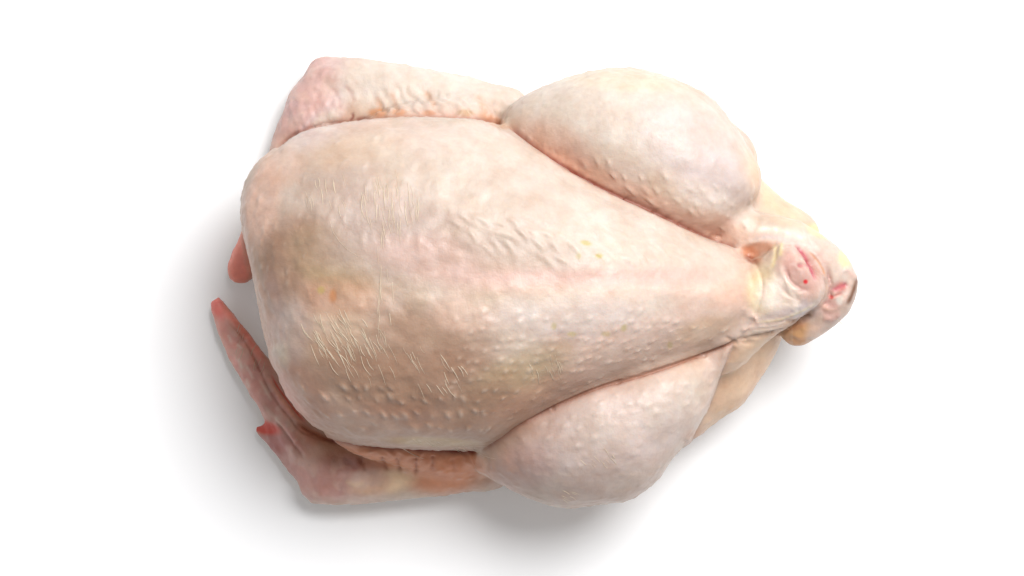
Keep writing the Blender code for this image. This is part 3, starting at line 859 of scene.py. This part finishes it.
def paint_skin(skin):
    """Tints: pale cream skin, pinker breast and wings, tan rump, red raw edges, and painted shade in the
    creases.
    """
    low = 1 - step(15, 75, skin.place[:, 2])
    skin.paint(PINK, 0.3 * step(-0.3, 0.5, skin.lumps(24, 5)))
    skin.paint(PALE, 0.35 * step(-0.2, 0.6, skin.lumps(17, 6)))
    skin.paint(OLIVE, 0.25 * step(-0.1, 0.6, skin.lumps(14, 7)))
    skin.paint(OLIVE, 0.25 * low * (1 - skin.up))
    # the picture's tints stop where it sees nothing, but go round the thin wing ends
    reach = np.maximum(skin.seen * step(0.0, 0.25, skin.normal[:, 2]), skin.hands)
    reach = skin.spread(reach, 8)
    paint_zones(skin, ZONES, reach)
    paint_zones(skin, WING_ZONES, skin.wing * reach)
    away, side, _ = skin.from_path(LOWER_LEG_END)
    rump = skin.spot(*RUMP) * step(-0.3, 0.8, -side * away)
    skin.paint(TAN, 0.9 * rump)
    neck = np.hypot(skin.place[:, 1] / NECK_WIDE, (skin.place[:, 2] - NECK_HEIGHT) / NECK_TALL)
    neck = (1 - step(0.3, 1.3, neck + 0.3 * skin.lumps(9, 8))) * step(0.3, 0.8, -skin.normal[:, 0])
    skin.paint(THUMB_RED, 0.55 * neck * (1 - reach))
    skin.paint(HAND_PINK, 0.3 * skin.hands)
    skin.paint(MAUVE, 0.35 * skin.hands * step(-0.2, 0.4, skin.lumps(8, 9)))
    skin.paint(BLUSH, 0.35 * skin.hands * step(0.0, 0.5, skin.lumps(5, 10)))
    paint_zones(skin, RED_ENDS, step(0.0, 8.0, RED_ENDS_TOP - skin.place[:, 2]))
    skin.paint(ROSE, 0.5 * skin.rim)
    # painted shade: brown over the upper skin beside the lower creases, a red-brown band below each crease
    # and a darker line in it
    skin.paint(BROWN, skin.shade)
    skin.paint(CREASE_SHADE_BROWN, 0.9 * skin.under)
    skin.paint(CREASE_SHADE_RED, 0.95 * skin.crease)
    for colour, weight in skin.drawn:
        skin.paint(colour, weight)


def attribute(mesh, name, values):
    """Stores one colour for each point of the mesh."""
    layer = mesh.color_attributes.new(name, "FLOAT_COLOR", "POINT")
    rgba = np.ones((len(values), 4), np.float32)
    rgba[:, :3] = values.reshape(len(values), -1)
    layer.data.foreach_set("color", rgba.ravel())


class Nodes:
    """Short calls for building a material."""

    def __init__(self, name):
        self.material = bpy.data.materials.new(name)
        self.material.use_nodes = True
        self.tree = self.material.node_tree
        self.shader = self.tree.nodes["Principled BSDF"]
        self.place = self.add("ShaderNodeTexCoord").outputs["Object"]

    def add(self, kind, **settings):
        node = self.tree.nodes.new(kind)
        for key, value in settings.items():
            setattr(node, key, value)
        return node

    def link(self, start, end):
        self.tree.links.new(start, end)

    def noise(self, size, detail=3.0, rough=0.5):
        """Noise with lumps of about the given size in millimetres."""
        node = self.add("ShaderNodeTexNoise")
        node.inputs["Scale"].default_value = 1.0 / (size * MM)
        node.inputs["Detail"].default_value = detail
        node.inputs["Roughness"].default_value = rough
        self.link(self.place, node.inputs["Vector"])
        return node.outputs["Fac"]

    def fit(self, value, low, high, to_low, to_high):
        node = self.add("ShaderNodeMapRange")
        numbers = (low, high, to_low, to_high)
        for key, number in zip(("From Min", "From Max", "To Min", "To Max"), numbers):
            node.inputs[key].default_value = number
        self.link(value, node.inputs["Value"])
        return node.outputs["Result"]

    def mix(self, share, first, second, blend="MIX"):
        """Mixes two colours; each is a socket or a tint."""
        node = self.add("ShaderNodeMix", data_type="RGBA", blend_type=blend)
        factor, a, b = node.inputs[0], node.inputs[6], node.inputs[7]
        for socket, value in ((factor, share), (a, first), (b, second)):
            if isinstance(value, bpy.types.NodeSocket):
                self.link(value, socket)
            elif socket is factor:
                socket.default_value = value
            else:
                socket.default_value = (*value, 1.0)
        return node.outputs[2]

    def bump(self, height, distance, before=None):
        node = self.add("ShaderNodeBump")
        node.inputs["Distance"].default_value = distance * MM
        self.link(height, node.inputs["Height"])
        if before is not None:
            self.link(before, node.inputs["Normal"])
        return node.outputs["Normal"]


# The skin's material: tints that multiply its own, the painted highlight on the pimples'
# tops, roughness, the bumps of its grain in millimetres, the light under the surface, and
# its moist coat.
MOTTLE_TINT = (0.89, 0.83, 0.79)
GLINT_TINT = (1.07, 1.06, 1.03)
PIMPLE_HIGHLIGHT_TINT = linear(216, 202, 188)
SKIN_ROUGHNESS = (0.36, 0.56)
COARSE_BUMP = 0.22
FINE_BUMP = 0.05
SUBSURFACE_SHARE = 0.22
SUBSURFACE_RADIUS = (1.0, 0.5, 0.32)
SUBSURFACE_SCALE = 0.0016
SKIN_IOR = 1.42
COAT_SHARE = 0.1
COAT_ROUGHNESS = 0.3


def skin_material():
    """Moist raw skin: mottled tints, painted highlights on the pimples' tops, fine grain and soft light
    under the surface.
    """
    n = Nodes("raw_skin")
    tint = n.add("ShaderNodeVertexColor", layer_name="tint").outputs["Color"]
    pimple_highlight = n.add("ShaderNodeVertexColor", layer_name="pimple_highlight").outputs["Color"]
    mottle = n.fit(n.noise(9, 4, 0.6), 0.35, 0.65, 0.0, 1.0)
    tint = n.mix(mottle, tint, n.mix(1.0, tint, MOTTLE_TINT, "MULTIPLY"))
    fine = n.fit(n.noise(2.6, 3, 0.6), 0.35, 0.7, 0.0, 1.0)
    tint = n.mix(fine, tint, n.mix(1.0, tint, GLINT_TINT, "MULTIPLY"))
    # painted highlight: the pimples' tops made lighter
    light = n.fit(pimple_highlight, 0.25, 1.0, 0.0, 0.3)
    tint = n.mix(light, tint, tuple(PIMPLE_HIGHLIGHT_TINT))
    n.link(tint, n.shader.inputs["Base Color"])
    n.link(n.fit(n.noise(3, 4, 0.6), 0.3, 0.7, *SKIN_ROUGHNESS), n.shader.inputs["Roughness"])
    coarse = n.bump(n.noise(2.4, 2), COARSE_BUMP)
    n.link(n.bump(n.noise(0.6, 3, 0.6), FINE_BUMP, coarse), n.shader.inputs["Normal"])
    n.shader.inputs["Subsurface Weight"].default_value = SUBSURFACE_SHARE
    n.shader.inputs["Subsurface Radius"].default_value = SUBSURFACE_RADIUS
    n.shader.inputs["Subsurface Scale"].default_value = SUBSURFACE_SCALE
    n.shader.inputs["IOR"].default_value = SKIN_IOR
    n.shader.inputs["Coat Weight"].default_value = COAT_SHARE
    n.shader.inputs["Coat Roughness"].default_value = COAT_ROUGHNESS
    return n.material


# Clusters of fine down left by the plucking: a middle, half sizes and turn in pixels and
# degrees, the hairs' lean in degrees from the picture's right, length in pixels, and count.
DOWN_CLUSTERS = [
    (352, 350, 48, 30, 28, -64, 21, 66),
    (330, 335, 26, 20, 0, -56, 16, 26),
    (388, 208, 30, 26, 8, -84, 22, 50),
    (330, 195, 26, 22, 0, -80, 16, 14),
    (385, 290, 10, 56, 0, -88, 22, 12),
    (430, 372, 40, 22, 20, -60, 17, 20),
    (545, 368, 18, 12, 0, -74, 14, 12),
    (604, 460, 22, 8, -15, -48, 10, 10),
    (570, 497, 14, 5, 0, -30, 9, 8),
    (252, 350, 14, 26, -35, -110, 13, 14),
    (440, 446, 46, 4, 3, -22, 13, 14),
]
# Single hairs: a path in pixels.
HAIRS = [
    [(329, 213), (333, 232), (348, 250), (369, 262)],
    [(381, 228), (381, 270), (379, 312), (382, 352)],
    [(837, 319), (841, 323), (846, 328)],
    [(470, 448), (484, 456), (496, 459)],
    [(400, 447), (414, 455), (424, 459)],
]
# The hairs: radii and lift over the skin in millimetres, their scatter in lean (degrees),
# in length and in bow, the sides and rings of each, and their look.
HAIR_RADII = (0.06, 0.16)
HAIR_LIFT = 0.1
HAIR_TURN = 9
HAIR_LENGTHS = (0.5, 1.15)
HAIR_BOW = 0.1
HAIR_SIDES = 5
HAIR_STEPS = 7
HAIR_TINT = linear(212, 194, 170)
HAIR_ROUGHNESS = 0.4


def hair_paths(rng):
    """The hairs' courses in pixels."""
    for u, v, wide, high, turn, lean, length, count in DOWN_CLUSTERS:
        c, s = math.cos(math.radians(turn)), math.sin(math.radians(turn))
        for _ in range(count):
            reach, way = math.sqrt(rng.random()), rng.uniform(0, 2 * math.pi)
            a, b = wide * reach * math.cos(way), high * reach * math.sin(way)
            start = np.array((u + a * c - b * s, v + a * s + b * c))
            angle = math.radians(lean + rng.uniform(-HAIR_TURN, HAIR_TURN))
            run = length * rng.uniform(*HAIR_LENGTHS) * np.array((math.cos(angle), -math.sin(angle)))
            bow = rng.uniform(-HAIR_BOW, HAIR_BOW) * np.array((-run[1], run[0]))
            yield [start - run / 2, start + bow, start + run / 2]
    yield from HAIRS


def down(skin):
    """Fine hairs lying on the skin, all in one piece."""
    rng = random.Random(SEED + 1)
    tree = mesh_tree(skin.obj.data)
    bm = bmesh.new()
    for path in hair_paths(rng):
        rings = []
        depth = None
        strength = rng.uniform(*HAIR_RADII)
        for k, (u, v) in enumerate(smooth_path(path, HAIR_STEPS)):
            ray = pixel_ray(u, v)
            spot = tree.ray_cast(CAMERA, ray)[0]
            if spot is not None:
                depth = (CAMERA - spot).length - HAIR_LIFT * MM
            if depth is None:
                break
            middle = CAMERA + ray * depth
            share = k / (HAIR_STEPS - 1)
            thick = strength * MM * (0.25 + 0.75 * math.sin(math.pi * (0.12 + 0.86 * share)))
            rings.append((middle, thick))
        if len(rings) == HAIR_STEPS:
            add_tube(bm, rings)
    mesh = bpy.data.meshes.new("down")
    bm.to_mesh(mesh)
    bm.free()
    piece = bpy.data.objects.new("down", mesh)
    bpy.context.scene.collection.objects.link(piece)
    return piece


def add_tube(bm, rings):
    """A tapered tube through the rings' middles, closed at both ends."""
    run = (rings[-1][0] - rings[0][0]).normalized()
    side = run.orthogonal().normalized()
    other = run.cross(side)
    loops = []
    for middle, thick in rings:
        loop = []
        for i in range(HAIR_SIDES):
            angle = 2 * math.pi * i / HAIR_SIDES
            loop.append(bm.verts.new(middle + (side * math.cos(angle) + other * math.sin(angle)) * thick))
        loops.append(loop)
    for first, second in zip(loops, loops[1:]):
        for i in range(HAIR_SIDES):
            j = (i + 1) % HAIR_SIDES
            bm.faces.new((first[i], first[j], second[j], second[i]))
    bm.faces.new(loops[0][::-1])
    bm.faces.new(loops[-1])


def down_material():
    """Pale hair."""
    material = bpy.data.materials.new("down")
    material.use_nodes = True
    shader = material.node_tree.nodes["Principled BSDF"]
    shader.inputs["Base Color"].default_value = (*HAIR_TINT, 1.0)
    shader.inputs["Roughness"].default_value = HAIR_ROUGHNESS
    return material


def floor_and_light():
    """A white ground, a large soft key light and a white room."""
    bpy.ops.mesh.primitive_plane_add(size=FLOOR_SIZE)
    floor = bpy.context.object
    floor.name = "floor"
    material = bpy.data.materials.new("floor")
    material.use_nodes = True
    shader = material.node_tree.nodes["Principled BSDF"]
    shader.inputs["Base Color"].default_value = FLOOR_TINT
    shader.inputs["Roughness"].default_value = FLOOR_ROUGHNESS
    shader.inputs["Emission Color"].default_value = WHITE
    shader.inputs["Emission Strength"].default_value = FLOOR_GLOW
    floor.data.materials.append(material)
    azimuth, height = math.radians(KEY_AZIMUTH), math.radians(KEY_HEIGHT)
    flat = math.cos(height)
    aim = Vector((math.cos(azimuth) * flat, math.sin(azimuth) * flat, math.sin(height)))
    light = bpy.data.lights.new("key", "AREA")
    light.shape = "DISK"
    light.size = KEY_SIZE
    light.energy = KEY_WATTS
    lamp = bpy.data.objects.new("key", light)
    bpy.context.scene.collection.objects.link(lamp)
    lamp.location = aim * KEY_DISTANCE
    lamp.rotation_euler = aim.to_track_quat("Z", "Y").to_euler()
    world = bpy.data.worlds.new("room")
    world.use_nodes = True
    background = world.node_tree.nodes["Background"]
    background.inputs["Color"].default_value = WHITE
    background.inputs["Strength"].default_value = ROOM_STRENGTH
    bpy.context.scene.world = world
    bpy.context.scene.view_settings.view_transform = "Standard"


def place_camera():
    """Straight above, with the picture's framing."""
    camera = bpy.data.cameras.new("camera")
    camera.sensor_width = SENSOR_MM
    camera.lens = FOCAL_PIXELS * SENSOR_MM / PICTURE_WIDE
    camera.clip_start = CLIP_START
    holder = bpy.data.objects.new("camera", camera)
    bpy.context.scene.collection.objects.link(holder)
    holder.location = CAMERA
    bpy.context.scene.camera = holder


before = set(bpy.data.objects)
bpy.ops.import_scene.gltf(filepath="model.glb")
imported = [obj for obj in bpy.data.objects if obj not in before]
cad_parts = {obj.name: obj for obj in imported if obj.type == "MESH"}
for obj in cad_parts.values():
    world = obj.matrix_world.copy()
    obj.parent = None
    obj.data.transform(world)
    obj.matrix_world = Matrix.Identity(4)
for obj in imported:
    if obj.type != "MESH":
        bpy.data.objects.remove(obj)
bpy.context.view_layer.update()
skin = Skin(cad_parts["chicken"])
relax(skin, skin.spot(*LEDGE) * (skin.place[:, 2] < LEDGE_TOP), LEDGE_ROUNDS)
unevenness(skin)
carve_creases(skin)
wing_folds(skin)
draw_lines(skin)
pimples(skin)
paint_skin(skin)
attribute(skin.obj.data, "tint", skin.tint)
# the share of painted highlight on the pimples' tops
attribute(skin.obj.data, "pimple_highlight", skin.pimple_highlight)
skin.obj.data.materials.append(skin_material())
skin.obj.data.shade_smooth()
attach(skin.obj, "root")
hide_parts("chicken")
hairs = down(skin)
hairs.data.materials.append(down_material())
hairs.data.shade_smooth()
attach(hairs, "root")
floor_and_light()
place_camera()
